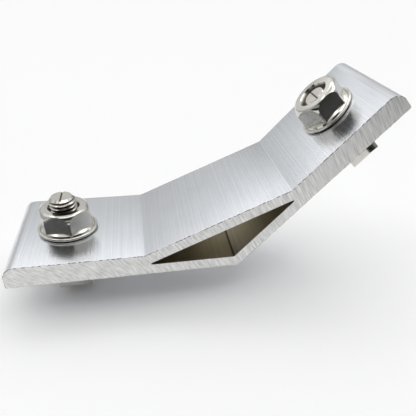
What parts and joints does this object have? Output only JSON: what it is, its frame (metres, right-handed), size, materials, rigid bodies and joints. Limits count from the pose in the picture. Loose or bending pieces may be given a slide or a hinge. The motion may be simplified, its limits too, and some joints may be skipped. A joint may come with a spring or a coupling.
{
  "type": "corner bracket",
  "caption": "Extruded aluminium corner bracket with a hollow gusset, joining slotted profiles at 45 degrees with T-bolts and flange nuts.",
  "frame": {"origin": "outer corner between the two mounting faces, at mid width", "axes": "the base flange lies along -X on the plane z = 0, the leg rises from +X at 45 degrees, Y runs across the width and +Z points away from the base's profile"},
  "size_m": [0.1159, 0.04, 0.0621],
  "materials": {
    "anodised_aluminium": "satin natural anodised, with bare sawn sides",
    "plated_steel": "bright nickel plated"
  },
  "bodies": {
    "bracket": {"bracket_body": "anodised_aluminium"},
    "base_nut": {"flange_nut_base": "plated_steel"},
    "base_bolt": {"t_bolt_base": "plated_steel"},
    "leg_nut": {"flange_nut_leg": "plated_steel"},
    "leg_bolt": {"t_bolt_leg": "plated_steel"}
  },
  "joints": [
    {"name": "base_nut_turn", "type": "hinge", "parent": "bracket", "child": "base_nut", "pos_m": [-0.0515, 0, 0.0067], "axis": [0, 0, 1], "range_deg": [0, 720]},
    {"name": "base_bolt_travel", "type": "slide", "parent": "bracket", "child": "base_bolt", "axis": [0, 0, -1], "range_m": [0, 0.0025]},
    {"name": "leg_nut_turn", "type": "hinge", "parent": "bracket", "child": "leg_nut", "pos_m": [0.03168, 0, 0.04115], "axis": [-0.7071, 0, 0.7071], "range_deg": [0, 720]},
    {"name": "leg_bolt_travel", "type": "slide", "parent": "bracket", "child": "leg_bolt", "axis": [0.7071, 0, -0.7071], "range_m": [0, 0.0025]}
  ],
  "couplings": [
    {"joint": "base_nut_turn", "follows": "base_bolt_travel", "rad_per_m": 5026.5},
    {"joint": "leg_nut_turn", "follows": "leg_bolt_travel", "rad_per_m": 5026.5}
  ]
}
